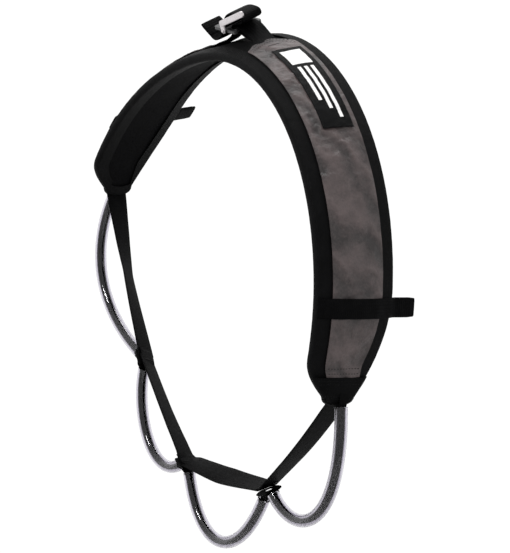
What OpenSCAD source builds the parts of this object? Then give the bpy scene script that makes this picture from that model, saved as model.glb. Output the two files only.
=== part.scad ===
// Padded gear sling: a shoulder pad, an adjustable webbing strap with a ladder buckle, and four
// hanging gear loops of clear tube. +X points to the wearer's front, +Y to the neck, +Z up.
// The origin is where the pad's lining rests on the top of the shoulder.

/* [Shoulder arch] */
// How far the arch reaches forward of the shoulder top
front_r = 200; // [170:1:240]
// How far the arch reaches back from the shoulder top
back_r = 274; // [230:1:320]
// Height of the arch from the shoulder top to its widest level
drop_r = 227; // [190:1:270]
// Sideways slope of the pad at the shoulder top, in degrees
slope = 17; // [0:1:26]
// Angle round the arch at which that slope has faded, in degrees
slope_fade = 75; // [50:5:100]

/* [Shoulder pad] */
// Width of the pad over its edge binding
pad_w = 82; // [70:1:100]
// Thickness of the foam at the pad's edges
foam_edge = 3; // [2:0.5:6]
// How much thicker the foam grows outwards along the middle
crown_out = 4.5; // [2:0.5:8]
// How much thicker the foam grows inwards along the middle
crown_in = 2.5; // [0:0.5:5]
// Thickness of the cover, lining and panel cloth
cloth_t = 0.8; // [0.5:0.1:1.5]
// Width of the binding tape on each face
tape_w = 15; // [10:1:18]
// Thickness of the binding tape
tape_t = 1; // [0.6:0.1:1.6]
// Angle from the shoulder top to the pad's front tip, in degrees
front_end = 120; // [100:1:135]
// Angle from the shoulder top to the pad's back tip, in degrees
back_end = 66; // [55:1:85]
// Width of the flat tip at each end of the pad
tip_w = 29; // [28:1:40]
// Length of the rounding at each tip on the arm side
arm_taper = 40; // [25:1:70]
// Length of the longer taper at each tip on the neck side
neck_taper = 105; // [60:1:130]

/* [Panels and label] */
// Gap along the arch between the shoulder top and the front panel
front_panel_gap = 58; // [45:1:80]
// Gap along the arch between the shoulder top and the back panel
back_panel_gap = 66; // [55:1:90]
// Length of the reinforced tip beyond each panel
tip_patch = 25; // [15:1:40]
// Width of the label
label_w = 32; // [20:1:36]
// Length of the label
label_len = 113; // [60:1:120]
// How far the label's middle lies from the pad's middle, towards the neck
label_shift = 5; // [0:1:10]

/* [Webbing] */
// Width of the main strap
web_w = 25; // [20:0.5:26]
// Thickness of the main strap
web_t = 1.6; // [1.2:0.1:2.4]
// Width of the keeper straps
keeper_w = 19; // [12:1:25]
// Length of each keeper tab
keeper_reach = 22; // [15:1:40]
// Distance from the front tip to the front keeper
front_keeper = 88; // [60:1:140]
// Distance from the back tip to the back keeper
back_keeper = 92; // [50:1:140]

/* [Gear loops] */
// Outside diameter of the clear tubes
tube_d = 12.7; // [9:0.1:16]
// Wall of the clear tubes
tube_wall = 1.6; // [1:0.1:2]
// How far each tube stands off the strap at its ends
tube_standoff = 10; // [8:0.5:16]
// How far each tube starts to the side of its stitched junction
tube_sidestep = 9; // [7.5:0.5:14]
// How deep the loops hang, as a multiple of the drawn depth
loop_drop = 1; // [0.8:0.05:1.3]

/* [Buckle] */
// Inside width of the buckle, beyond the strap's own width
slot_play = 1.6; // [1:0.1:3]
// Width of each side rail
rail_w = 4; // [3:0.5:6]
// Thickness of the side rails
rail_t = 3; // [2.5:0.25:5]
// Diameter of the anchor pin
pin_d = 4; // [3:0.25:5]
// Diameter of the locking bar
bar_d = 4; // [3:0.25:5]
// Distance from the anchor pin to the locking bar
bar_pitch = 13; // [12:0.5:18]
// Height of the release lever
lever_h = 6.5; // [4:0.5:9]
// Thickness of the release lever
lever_t = 2; // [1.5:0.25:3]
// Length of the release lever
lever_len = 47; // [30:1:55]
// Upward pitch of the buckle, in degrees
buckle_pitch = 16; // [12:1:24]
// Extra sideways roll of the buckle beyond the pad's slope, in degrees
buckle_roll = 8; // [0:1:15]

/* [Hidden] */

// Clearance between layers of cloth and webbing
ply = 0.3;
// Clearance of the cloth that drapes over the flat strap on the crowned pad
drape = 1;
// Heights of the layers over the foam's face
cover_at = ply;
web_at = cover_at + cloth_t + ply;
tape_at = web_at;
panel_at = web_at + web_t + drape;
label_at = panel_at + cloth_t + ply;
keeper_at = label_at;
label_t = 0.6;
motif_t = 0.4;
tack_t = 0.5;
// Where a keeper tab's hinge line runs: past the pad's edge, and above its middle surface
tab_stand = 4;
tab_lift = 1.5;
// The lining's resting face lies this far inside the pad's middle surface
seat_depth = foam_edge / 2 + crown_in + ply + cloth_t;

black = [0.05, 0.05, 0.055];
cloth = [0.36, 0.32, 0.31];
white = [0.93, 0.93, 0.92];
steel = [0.78, 0.78, 0.8];
clear = [0.8, 0.8, 0.84];

// ---------------------------------------------------------------- vectors and curves

y_axis = [0, 1, 0];
function unit(v) = v / norm(v);
function mix(a, b, t) = a + (b - a) * t;

// A smooth curve through the points, with n steps between each pair
function hermite(a, b, ta, tb, t) =
    a * (2 * pow(t, 3) - 3 * t * t + 1) + ta * (pow(t, 3) - 2 * t * t + t)
    + b * (3 * t * t - 2 * pow(t, 3)) + tb * (pow(t, 3) - t * t);
function slope_at(p, i) = (p[min(i + 1, len(p) - 1)] - p[max(i - 1, 0)]) / 2;
function smooth(p, n) = concat(
    [for (i = [0 : len(p) - 2]) for (k = [0 : n - 1])
        hermite(p[i], p[i + 1], slope_at(p, i), slope_at(p, i + 1), k / n)],
    [p[len(p) - 1]]);
function bezier(a, b, c, d, n) = [for (k = [0 : n]) let (t = k / n)
    a * pow(1 - t, 3) + b * 3 * t * pow(1 - t, 2) + c * 3 * t * t * (1 - t) + d * pow(t, 3)];
function headings(p) = [for (i = [0 : len(p) - 1]) unit(slope_at(p, i))];

// ---------------------------------------------------------------- the shoulder arch

function reach(a) = a < 0 ? back_r : front_r;
function heading(a) = unit([reach(a) * cos(a), 0, -drop_r * sin(a)]);
function outward(t) = [-t[2], 0, t[0]];
function bank(a) = slope * exp(-pow(a / slope_fade, 2));
function banked(t, b) = y_axis * cos(b) + outward(t) * sin(b);
function lifted(t, b) = outward(t) * cos(b) - y_axis * sin(b);
arch_base = lifted([1, 0, 0], slope) * seat_depth;
function arch(a) = arch_base + [reach(a) * sin(a), 0, drop_r * (cos(a) - 1)];
// A point at angle a, v across the pad towards the neck and w out of its middle surface
function on_pad(a, v, w) = let (t = heading(a), b = bank(a))
    arch(a) + banked(t, b) * v + lifted(t, b) * w;

// Millimetres of arch for one degree at angle a
function per_degree(a) = norm([reach(a) * cos(a), drop_r * sin(a)]) * PI / 180;
front_pace = per_degree(front_end);
back_pace = per_degree(-back_end);
top_pace = per_degree(0.01);
back_top_pace = per_degree(-0.01);

// ---------------------------------------------------------------- the pad's outline and layers

function rise(s, length) = s >= length ? 1 : sin(90 * max(s, 0) / length);
function from_front_tip(a) = (front_end - a) * front_pace;
function from_back_tip(a) = (a + back_end) * back_pace;
function half_w(a, taper) = tip_w / 2 + (pad_w - tip_w) / 2
    * min(rise(from_front_tip(a), taper), rise(from_back_tip(a), taper));
function arm_edge(a) = half_w(a, arm_taper);
function neck_edge(a) = half_w(a, neck_taper);
function edge_of(a, v) = v < 0 ? arm_edge(a) : neck_edge(a);
// The crown across the pad fades out with its width at the tips
function plump(a) = (half_w(a, neck_taper) - tip_w / 2) / (pad_w / 2 - tip_w / 2);
function crown(a, v) = let (x = v / edge_of(a, v)) plump(a) * max(0, 1 - x * x);
function outer_face(a, v) = foam_edge / 2 + crown_out * crown(a, v);
function inner_face(a, v) = -foam_edge / 2 - crown_in * crown(a, v);
// The binding narrows at the tips, where the strap comes out between its edges
function tape_in(edge) = min(tape_w, edge - web_w / 2 - 2 * ply);
// The layers inside the binding stop short of its fold
function inside_tape(edge) = edge - tape_t - 2 * ply;

function between(a, b, n) = [for (k = [0 : n]) mix(a, b, k / n)];
tip_steps = 5;
tip_zone = 12;
pad_angles = concat(
    between(-back_end, -back_end + tip_zone, tip_steps),
    between(-back_end + tip_zone + 3.5, front_end - tip_zone - 3.5, 32),
    between(front_end - tip_zone, front_end, tip_steps));

// ---------------------------------------------------------------- solids from grids of points

// A closed sheet between two grids of points of the same size
module sheet(top, bottom) {
    m = len(top);
    n = len(top[0]);
    points = concat([for (row = top) each row], [for (row = bottom) each row]);
    function at(i, j) = i * n + j;
    function below(i, j) = m * n + at(i, j);
    faces = concat(
        [for (i = [0 : m - 2]) for (j = [0 : n - 2])
            each [[at(i, j), at(i + 1, j), at(i + 1, j + 1)], [at(i, j), at(i + 1, j + 1), at(i, j + 1)]]],
        [for (i = [0 : m - 2]) for (j = [0 : n - 2])
            each [[below(i, j), below(i + 1, j + 1), below(i + 1, j)],
                  [below(i, j), below(i, j + 1), below(i + 1, j + 1)]]],
        [for (i = [0 : m - 2]) each [
            [at(i, 0), below(i, 0), below(i + 1, 0)], [at(i, 0), below(i + 1, 0), at(i + 1, 0)],
            [at(i, n - 1), below(i + 1, n - 1), below(i, n - 1)],
            [at(i, n - 1), at(i + 1, n - 1), below(i + 1, n - 1)]]],
        [for (j = [0 : n - 2]) each [
            [at(0, j), below(0, j + 1), below(0, j)], [at(0, j), at(0, j + 1), below(0, j + 1)],
            [at(m - 1, j), below(m - 1, j), below(m - 1, j + 1)],
            [at(m - 1, j), below(m - 1, j + 1), at(m - 1, j + 1)]]]);
    polyhedron(points = points, faces = [for (f = faces) [f[2], f[1], f[0]]], convexity = 10);
}

// A layer on the pad's outer face, low to high over the foam, between two lateral limits
module outer_layer(angles, from, to, low, high, n = 4) {
    function row(a, h) = [for (v = between(from(a), to(a), n)) on_pad(a, v, outer_face(a, v) + h)];
    sheet([for (a = angles) row(a, high)], [for (a = angles) row(a, low)]);
}

// A strap of the main webbing's thickness along a path, with its own across direction at each point
module strap(path, across, width, thick) {
    t = headings(path);
    function face(i, h) = let (n = unit(cross(t[i], across[i])))
        [for (v = [-width / 2, 0, width / 2]) path[i] + across[i] * v + n * h];
    sheet([for (i = [0 : len(path) - 1]) face(i, thick / 2)],
          [for (i = [0 : len(path) - 1]) face(i, -thick / 2)]);
}

// A round or oval section swept along a path in the plane of the loop, hollow if bore is given
module swept(path, wide, deep, bore = 0, sides = 12) {
    t = headings(path);
    m = len(path);
    function ring(i, w, d) = [for (k = [0 : sides - 1])
        path[i] + y_axis * (w / 2 * cos(360 * k / sides))
        + outward(t[i]) * (d / 2 * sin(360 * k / sides))];
    function at(i, k) = i * sides + (k % sides);
    function skin(base, turn) = [for (i = [0 : m - 2]) for (k = [0 : sides - 1])
        let (a = base + at(i, k), b = base + at(i, k + 1),
            c = base + at(i + 1, k + 1), d = base + at(i + 1, k))
        each turn ? [[a, c, b], [a, d, c]] : [[a, b, c], [a, c, d]]];
    outer = [for (i = [0 : m - 1]) each ring(i, wide, deep)];
    inner = [for (i = [0 : m - 1]) each ring(i, bore, bore)];
    count = m * sides;
    function lip(i, turn) = [for (k = [0 : sides - 1])
        let (a = at(i, k), b = at(i, k + 1), c = count + at(i, k + 1), d = count + at(i, k))
        each turn ? [[a, b, c], [a, c, d]] : [[a, c, b], [a, d, c]]];
    if (bore > 0)
        polyhedron(concat(outer, inner),
            concat(skin(0, true), skin(count, false), lip(0, true), lip(m - 1, false)), convexity = 10);
    else
        polyhedron(outer, concat(skin(0, true), [[for (k = [0 : sides - 1]) at(0, k)]],
            [[for (k = [0 : sides - 1]) at(m - 1, sides - 1 - k)]]), convexity = 10);
}

// ---------------------------------------------------------------- pad parts

module pad_foam() {
    function row(a, side) = [for (v = between(-inside_tape(arm_edge(a)), inside_tape(neck_edge(a)), 6))
        on_pad(a, v, side > 0 ? outer_face(a, v) : inner_face(a, v))];
    color("dimgray") sheet([for (a = pad_angles) row(a, 1)], [for (a = pad_angles) row(a, -1)]);
}

module pad_lining() {
    function row(a, h) = [for (v = between(-inside_tape(arm_edge(a)), inside_tape(neck_edge(a)), 6))
        on_pad(a, v, inner_face(a, v) - h)];
    color(black) sheet([for (a = pad_angles) row(a, ply)], [for (a = pad_angles) row(a, ply + cloth_t)]);
}

module pad_cover() {
    color(black) outer_layer(pad_angles, function (a) -inside_tape(arm_edge(a)),
        function (a) inside_tape(neck_edge(a)), cover_at, cover_at + cloth_t, 6);
}

// How far the tape's outer corner is rounded down at the fold
fold = 0.8;
// Tape folded over one edge of the pad: side is 1 on the neck side and -1 on the arm side
module binding(side) {
    function chain(a, h) = let (
        edge = edge_of(a, side),
        in = edge - tape_in(edge),
        shoulder = max(edge - 4, mix(in, edge, 0.6)),
        top = function (v) outer_face(a, side * v) + tape_at + h,
        low = function (v) inner_face(a, side * v) - tape_at - h)
        [for (q = [[in, top(in)], [shoulder, top(shoulder)], [edge - tape_t + h, top(edge) - h * fold],
                   [edge - tape_t + h, low(edge) + h * fold], [shoulder, low(shoulder)], [in, low(in)]])
            on_pad(a, side * q[0], q[1])];
    outer = [for (a = pad_angles) chain(a, tape_t)];
    inner = [for (a = pad_angles) chain(a, 0)];
    color(black) if (side > 0) sheet(outer, inner); else sheet(inner, outer);
}

panel_from = front_panel_gap / top_pace;
panel_to = front_end - tip_patch / front_pace;
back_panel_from = -back_panel_gap / back_top_pace;
back_panel_to = -back_end + tip_patch / back_pace;

module panel(from, to) {
    color(cloth) outer_layer(between(from, to, 22),
        function (a) tape_in(arm_edge(a)) - arm_edge(a),
        function (a) neck_edge(a) - tape_in(neck_edge(a)), panel_at, panel_at + cloth_t);
}

module tip_reinforcement(from, to) {
    color(black) outer_layer(between(from, to, 6),
        function (a) 2 - arm_edge(a), function (a) neck_edge(a) - 2, panel_at, panel_at + cloth_t);
}

label_gap = 23;
label_from = panel_from + label_gap / top_pace;
label_to = label_from + label_len / per_degree(35);
module label_base() {
    color(black) outer_layer(between(label_from, label_to, 8),
        function (a) label_shift - label_w / 2, function (a) label_shift + label_w / 2,
        label_at, label_at + label_t);
}

// A plain square and three plain bars, woven in white
motif_gap = 5;
longest_bar = 66;
bar_step = 10;
module label_motif() {
    patch = label_w * 0.68;
    bar = patch * 0.16;
    square_from = label_from + 1.7;
    bars_from = square_from + (patch * 1.15 + 5) / per_degree(30);
    low = label_at + label_t + ply;
    module motif(from, length, v0, v1)
        let (pace = per_degree(from))
        outer_layer(between(from, from + length / pace, 3), function (a) v0, function (a) v1,
            low, low + motif_t, 2);
    right = label_shift + label_w / 2 - motif_gap;
    color(white) motif(square_from, patch * 1.15, right - patch, right);
    color(white) for (k = [0 : 2])
        motif(bars_from, longest_bar - bar_step * k,
            right - 2 - bar * (1 + 2 * k), right - 2 - bar * 2 * k);
}

// ---------------------------------------------------------------- keepers

front_keeper_at = front_end - front_keeper / front_pace;
back_keeper_at = -back_end + back_keeper / back_pace;

module keeper(at) {
    half = keeper_w / 2 / per_degree(at);
    color(black) outer_layer(between(at - half, at + half, 3),
        function (a) 1 - arm_edge(a), function (a) neck_edge(a) - 1,
        keeper_at, keeper_at + web_t, 8);
}

// The tab is the strap's folded end, hinged where it leaves the pad's edge
function tab_root(at) = on_pad(at, neck_edge(at) + tab_stand, tab_lift);
module keeper_tab(at) {
    outwards = banked(heading(at), bank(at));
    path = between(tab_root(at), tab_root(at) + outwards * keeper_reach, 4);
    color(black) strap(path, [for (p = path) heading(at)], keeper_w, 2 * web_t + ply);
}

// ---------------------------------------------------------------- the strap's lower run

function ring_point(a, k) = arch_base + [reach(a) * k * sin(a), 0, drop_r * (k * cos(a) - 1)];
// The three stitched junctions: angle round the arch, and nearness to it
junction_at = [[163.5, 0.951], [-157, 0.924], [-120, 0.784]];
junctions = [for (j = junction_at) ring_point(j[0], j[1])];
front_tip = on_pad(front_end, 0, outer_face(front_end, 0) + web_at + web_t / 2);
back_tip = on_pad(-back_end, 0, outer_face(-back_end, 0) + web_at + web_t / 2);

function sag(a, b, depth) = let (d = unit(b - a)) mix(a, b, 0.5) + outward(d) * depth;
// Sideways twist of the strap, in degrees, at the ends and middle of each run
function run(a, b, twist, depth, n) = let (mid = sag(a, b, depth),
    line = smooth([a, mid, b], n), t = headings(line), last = len(line) - 1)
    [for (i = [0 : last]) let (x = 2 * i / last,
        angle = x < 1 ? mix(twist[0], twist[1], x) : mix(twist[1], twist[2], x - 1))
        [line[i], banked(t[i], angle)]];
function centres(r) = [for (s = r) s[0]];
function acrosses(r) = [for (s = r) s[1]];
// Runs stop just short of each junction's middle
function short_of(a, b, gap) = a + unit(b - a) * gap;
join = 1.5;
front_twist = [1, -4, -12];
middle_twist_1 = [-17, -34, -14];
middle_twist_2 = [18, 28, 32];
back_twist = [22, 38, 1];
front_run = run(front_tip, short_of(junctions[0], front_tip, join), front_twist, 3, 5);
middle_run_1 = run(short_of(junctions[0], junctions[1], join),
    short_of(junctions[1], junctions[0], join), middle_twist_1, 3, 5);
middle_run_2 = run(short_of(junctions[1], junctions[2], join),
    short_of(junctions[2], junctions[1], join), middle_twist_2, 2, 5);
back_run = run(short_of(junctions[2], back_tip, join), back_tip, back_twist, 6, 5);

// The strap along the pad's outer face, from angle a to angle b
function pad_run(a, b, n) = [for (q = between(a, b, n))
    [on_pad(q, 0, outer_face(q, 0) + web_at + web_t / 2), banked(heading(q), bank(q))]];

// ---------------------------------------------------------------- the buckle's own frame

// Along the strap to the front, across it to the neck, and up, at the anchor pin
buckle_bank = slope + buckle_roll;
along = [1, 0, 0];
across = banked(along, buckle_bank);
up = lifted(along, buckle_bank);
pad_up = lifted(along, slope);
top_face = outer_face(0, 0) + web_at;
buckle_origin = on_pad(0, 0, top_face);
function by_buckle(u, w) = buckle_origin + along * u + pad_up * w;
pin_u = 24;
pin_w = 12.5;
pin_centre = by_buckle(pin_u, pin_w);
// The same measures, but rolled with the buckle, for the webbing that it carries
function rolled(u, w) = pin_centre + along * (u - pin_u) + up * (w - pin_w);
slot_w = web_w + slot_play;
buckle_w = slot_w + 2 * rail_w;
frame_back = bar_pitch * 2 + 1;
bushing = 0.4;

module at_buckle() {
    multmatrix([[along[0], across[0], up[0], pin_centre[0]],
                [along[1], across[1], up[1], pin_centre[1]],
                [along[2], across[2], up[2], pin_centre[2]]])
        rotate([0, buckle_pitch, 0]) children();
}

// Two side rails joined by a front bar, bored for the pin and the locking bar
module buckle_frame() {
    module plan() {
        difference() {
            hull() for (x = [-frame_back - 1, 2]) for (s = [-1, 1])
                translate([x, s * (buckle_w / 2 - 2)]) circle(r = 2, $fn = 32);
            translate([-frame_back + 2.5, -slot_w / 2]) square([frame_back + 4, slot_w]);
        }
    }
    color(black) at_buckle() difference() {
        translate([0, 0, -rail_t / 2]) linear_extrude(rail_t) plan();
        for (x = [0, -bar_pitch]) translate([x, 0, 0]) rotate([90, 0, 0])
            cylinder(d = (x == 0 ? pin_d : bar_d) * 0.6, h = buckle_w - 3, center = true, $fn = 48);
    }
}

// A stepped pin: its thin ends seat in the rails and its body spans the slot
module cross_pin(d) {
    rotate([90, 0, 0]) {
        cylinder(d = d, h = slot_w - 0.2, center = true, $fn = 48);
        cylinder(d = d * 0.6, h = buckle_w - 3, center = true, $fn = 48);
    }
}
module buckle_anchor_pin() { color(steel) at_buckle() cross_pin(pin_d); }
module buckle_locking_bar() { color(steel) at_buckle() translate([-bar_pitch, 0, 0]) cross_pin(bar_d); }

// The bright lever that a thumb lifts to let the strap run, riveted to the rail on the arm side
lever_rise = 24;
lever_gap = 0.05;
lever_root = [-13.8, 7.7];
module buckle_lever() {
    eye = [-bar_pitch, 0];
    color(steel) at_buckle() translate([0, -buckle_w / 2 - lever_gap, 0]) rotate([90, 0, 0])
        linear_extrude(lever_t) {
            translate(lever_root) rotate(lever_rise)
                hull() for (x = [0, lever_len - lever_h]) translate([x, 0]) circle(d = lever_h, $fn = 40);
            hull() for (q = [lever_root, eye]) translate(q) circle(d = lever_h, $fn = 40);
        }
}

// Anchor end: round the pin and back on itself, then down to the pad under the front panel
function pin_loop(r, from, to, n) = [for (q = between(from, to, n))
    pin_centre + along * (r * cos(q)) + up * (r * sin(q))];
wrap_r = pin_d / 2 + bushing + web_t / 2;
anchor_land = panel_from - 4 / top_pace;
anchor_path = concat(
    smooth([by_buckle(38, 4.2), pin_centre + along * 4 - up * (wrap_r + 0.2)], 3),
    pin_loop(wrap_r, -90, -300, 8),
    smooth([by_buckle(34, 10.5), by_buckle(44, 1.5)], 3));
module strap_front() {
    pad_part = pad_run(anchor_land, front_end, 26);
    path = concat(anchor_path, centres(pad_part), [for (i = [1 : len(front_run) - 1]) front_run[i][0]]);
    sides = concat([for (p = anchor_path) across], acrosses(pad_part),
        [for (i = [1 : len(front_run) - 1]) front_run[i][1]]);
    color(black) strap(path, sides, web_w, web_t);
}

module strap_middle() {
    color(black) {
        strap(centres(middle_run_1), acrosses(middle_run_1), web_w, web_t);
        strap(centres(middle_run_2), acrosses(middle_run_2), web_w, web_t);
    }
}

// Load end: up the back of the pad, off its face, and up to the buckle's rear slot
load_rise = [by_buckle(-14, 1.6), by_buckle(0, 4.5), by_buckle(10, 7.6), by_buckle(16, 10.2)];
module strap_back() {
    pad_part = pad_run(-back_end, -6, 18);
    rise_part = smooth(load_rise, 3);
    path = concat([for (i = [0 : len(back_run) - 2]) back_run[i][0]], centres(pad_part), rise_part);
    sides = concat([for (i = [0 : len(back_run) - 2]) back_run[i][1]], acrosses(pad_part),
        [for (i = [0 : len(rise_part) - 1])
            banked(along, mix(slope, buckle_bank, i / (len(rise_part) - 1)))]);
    color(black) strap(path, sides, web_w, web_t);
}

// The slack hump over the locking bar, from the rear slot to the front one
wrap_points = [[17, 13.2], [18.5, 17.5], [26, 19.2], [34, 18.8], [40, 20.5], [40.5, 25], [34, 28.5],
    [25, 30.5], [16, 29.5], [10, 26], [7, 21.5], [2, 15.2]];
module strap_wrap() {
    path = smooth([for (q = wrap_points) rolled(q[0], q[1])], 3);
    color(black) strap(path, [for (p = path) across], web_w, web_t);
}

// The free end comes out under the rear bar and stands up to the back
tail_points = [[1, 14.2], [-6, 10], [-15, 6.8], [-22, 7.6], [-27, 13.5]];
tail_end = rolled(-36, 25.5);
module strap_tail() {
    path = smooth([for (q = tail_points) rolled(q[0], q[1])], 3);
    color(black) strap(path, [for (p = path) across], web_w, web_t);
}
module tail_stop() {
    start = rolled(tail_points[4][0], tail_points[4][1]);
    path = between(start + unit(tail_end - start) * ply, tail_end, 2);
    color(black) strap(path, [for (p = path) across], web_w, web_t * 2);
}

// ---------------------------------------------------------------- gear loops

function end_at(j, t, side) = j + outward(t) * tube_standoff + t * (side * tube_sidestep);
function mean_heading(a, b, c) = unit(unit(b - a) + unit(c - b));
heads = [mean_heading(front_tip, junctions[0], junctions[1]),
         mean_heading(junctions[0], junctions[1], junctions[2]),
         mean_heading(junctions[1], junctions[2], back_tip)];
// Where the first and last loops start, beside the pad's tips
front_hang = [4, 0, -6];
back_hang = [-6, 0, -10];
// Ends of each loop, and the handles that shape it, in the plane of the sling
loop_ends = [
    [front_tip + front_hang, end_at(junctions[0], heads[0], -1)],
    [end_at(junctions[0], heads[0], 1), end_at(junctions[1], heads[1], -1)],
    [end_at(junctions[1], heads[1], 1), end_at(junctions[2], heads[2], -1)],
    [end_at(junctions[2], heads[2], 1), back_tip + back_hang],
];
loop_handles = [
    [[2, 0, -118], [38, 0, -40]],
    [[-48, 0, -71], [20, 0, -83]],
    [[-60, 0, -26], [-21, 0, -49]],
    [[-99, 0, 50], [-48, 0, -54]],
];
function loop_path(k, n) = let (e = loop_ends[k], h = loop_handles[k] * loop_drop)
    bezier(e[0], e[0] + h[0], e[1] + h[1], e[1], n);
core_w = tube_d - 2 * tube_wall - 1;
core_t = core_w * 0.8;
core_out = 2.5;
function extended(p, d) = concat([p[0] - unit(p[1] - p[0]) * d], p,
    [p[len(p) - 1] + unit(p[len(p) - 1] - p[len(p) - 2]) * d]);

module gear_tube(k) {
    color(clear) swept(loop_path(k, 20), tube_d, tube_d, tube_d - 2 * tube_wall, 12);
}
module loop_webbing(k) {
    color(black) swept(extended(loop_path(k, 20), core_out), core_w, core_t, 0, 8);
}

// Loop webbing laid along the outside of the strap on both sides of each junction
seat_len = 9;
seat_gap = 1.1;
neighbours = [front_tip, junctions[0], junctions[1], junctions[2], back_tip];
// The strap's own twist just before and just after each junction
twist_in = [front_twist[2], middle_twist_1[2], middle_twist_2[2]];
twist_out = [middle_twist_1[0], middle_twist_2[0], back_twist[0]];
// Runs fn on both sides of each junction with its place, heading and twist
module beside_junctions() {
    for (k = [0 : 2]) {
        $at = junctions[k];
        $t = unit(junctions[k] - neighbours[k]);
        $side = -1;
        $twist = twist_in[k];
        children();
    }
    for (k = [0 : 2]) {
        $at = junctions[k];
        $t = unit(neighbours[k + 2] - junctions[k]);
        $side = 1;
        $twist = twist_out[k];
        children();
    }
}
// A short piece laid flat on the strap, from near to far along it and h off its middle
module laid(near, far, h, width, thick) {
    n = lifted($t, $twist) * h;
    ends = $side > 0 ? [near, far] : [-far, -near];
    path = between($at + n + $t * ends[0], $at + n + $t * ends[1], 2);
    strap(path, [for (p = path) banked($t, $twist)], width, thick);
}
module junction_webbing() {
    color(black) beside_junctions()
        laid(join, join + seat_len, web_t + seat_gap, core_w * 1.6, web_t);
}

// Bar tacks: dense lines of thread across the strap, on its inner face
tack_from = 6;
tack_len = 2.4;
tack_gap = 0.8;
module bar_tacks() {
    color(black) beside_junctions()
        laid(tack_from, tack_from + tack_len, -web_t / 2 - tack_gap, web_w * 0.7, tack_t);
}

// ---------------------------------------------------------------- nodes

pad_foam();
pad_lining();
pad_cover();
binding(1);  // binding_neck_side
binding(-1);  // binding_arm_side
panel(panel_from, panel_to);  // panel_front
panel(back_panel_to, back_panel_from);  // panel_back
tip_reinforcement(panel_to + 0.2, front_end);  // tip_patch_front
tip_reinforcement(-back_end, back_panel_to - 0.2);  // tip_patch_back
label_base();
label_motif();
keeper(front_keeper_at);  // keeper_front
keeper(back_keeper_at);  // keeper_back
keeper_tab(front_keeper_at);  // keeper_tab_front
keeper_tab(back_keeper_at);  // keeper_tab_back
strap_front();
strap_middle();
strap_back();
junction_webbing();
bar_tacks();
buckle_frame();
buckle_anchor_pin();
buckle_locking_bar();
buckle_lever();
strap_wrap();
strap_tail();
tail_stop();
gear_tube(0);  // gear_tube_1
gear_tube(1);  // gear_tube_2
gear_tube(2);  // gear_tube_3
gear_tube(3);  // gear_tube_4
loop_webbing(0);  // loop_webbing_1
loop_webbing(1);  // loop_webbing_2
loop_webbing(2);  // loop_webbing_3
loop_webbing(3);  // loop_webbing_4
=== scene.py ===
"""Looks of the padded gear sling: cloth, webbing, clear tube and buckle, built around the packed frame."""

import math

import bpy
from mathutils import Matrix, Vector, noise


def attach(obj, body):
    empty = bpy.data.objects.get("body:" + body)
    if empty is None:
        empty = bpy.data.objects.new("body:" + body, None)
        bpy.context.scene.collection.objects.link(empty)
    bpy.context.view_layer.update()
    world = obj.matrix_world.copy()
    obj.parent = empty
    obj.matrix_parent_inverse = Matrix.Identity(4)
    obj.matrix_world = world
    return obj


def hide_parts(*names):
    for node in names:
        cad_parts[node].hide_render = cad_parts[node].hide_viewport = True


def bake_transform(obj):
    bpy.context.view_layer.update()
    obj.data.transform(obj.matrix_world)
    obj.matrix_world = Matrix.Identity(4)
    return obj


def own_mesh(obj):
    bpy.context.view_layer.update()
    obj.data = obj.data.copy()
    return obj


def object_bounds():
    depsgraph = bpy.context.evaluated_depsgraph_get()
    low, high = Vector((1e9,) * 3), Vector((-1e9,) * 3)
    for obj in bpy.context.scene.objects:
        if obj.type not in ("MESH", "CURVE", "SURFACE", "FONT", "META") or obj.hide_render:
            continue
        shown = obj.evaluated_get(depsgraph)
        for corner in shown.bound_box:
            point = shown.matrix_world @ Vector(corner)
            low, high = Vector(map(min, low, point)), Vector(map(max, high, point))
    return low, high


bl_info = {
    "name": "Padded gear sling",
    "version": (1, 0, 0),
    "blender": (4, 5, 0),
    "location": "3D View > Sidebar > Sling",
    "description": "Models a padded multi-loop gear sling around its packed frame",
    "category": "Object",
}

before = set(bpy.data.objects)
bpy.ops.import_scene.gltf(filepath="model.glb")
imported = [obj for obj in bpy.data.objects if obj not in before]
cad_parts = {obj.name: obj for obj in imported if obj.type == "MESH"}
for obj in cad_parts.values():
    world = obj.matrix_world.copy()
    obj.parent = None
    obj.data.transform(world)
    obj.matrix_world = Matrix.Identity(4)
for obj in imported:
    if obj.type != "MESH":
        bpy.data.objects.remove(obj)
CAD_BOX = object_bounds()
BAND = "shoulder_band"
MM = 0.001
SIDE = Vector((0, 1, 0))
FORWARD = Vector((1, 0, 0))


# ---- sizes


def length(label, text, metres):
    return bpy.props.FloatProperty(name=label, description=text, default=metres, unit="LENGTH")


def angle(label, text, degrees):
    return bpy.props.FloatProperty(name=label, description=text, default=math.radians(degrees), subtype="ANGLE")


def paint(label, text, *rgb):
    return bpy.props.FloatVectorProperty(name=label, description=text, default=rgb, subtype="COLOR")


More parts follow.
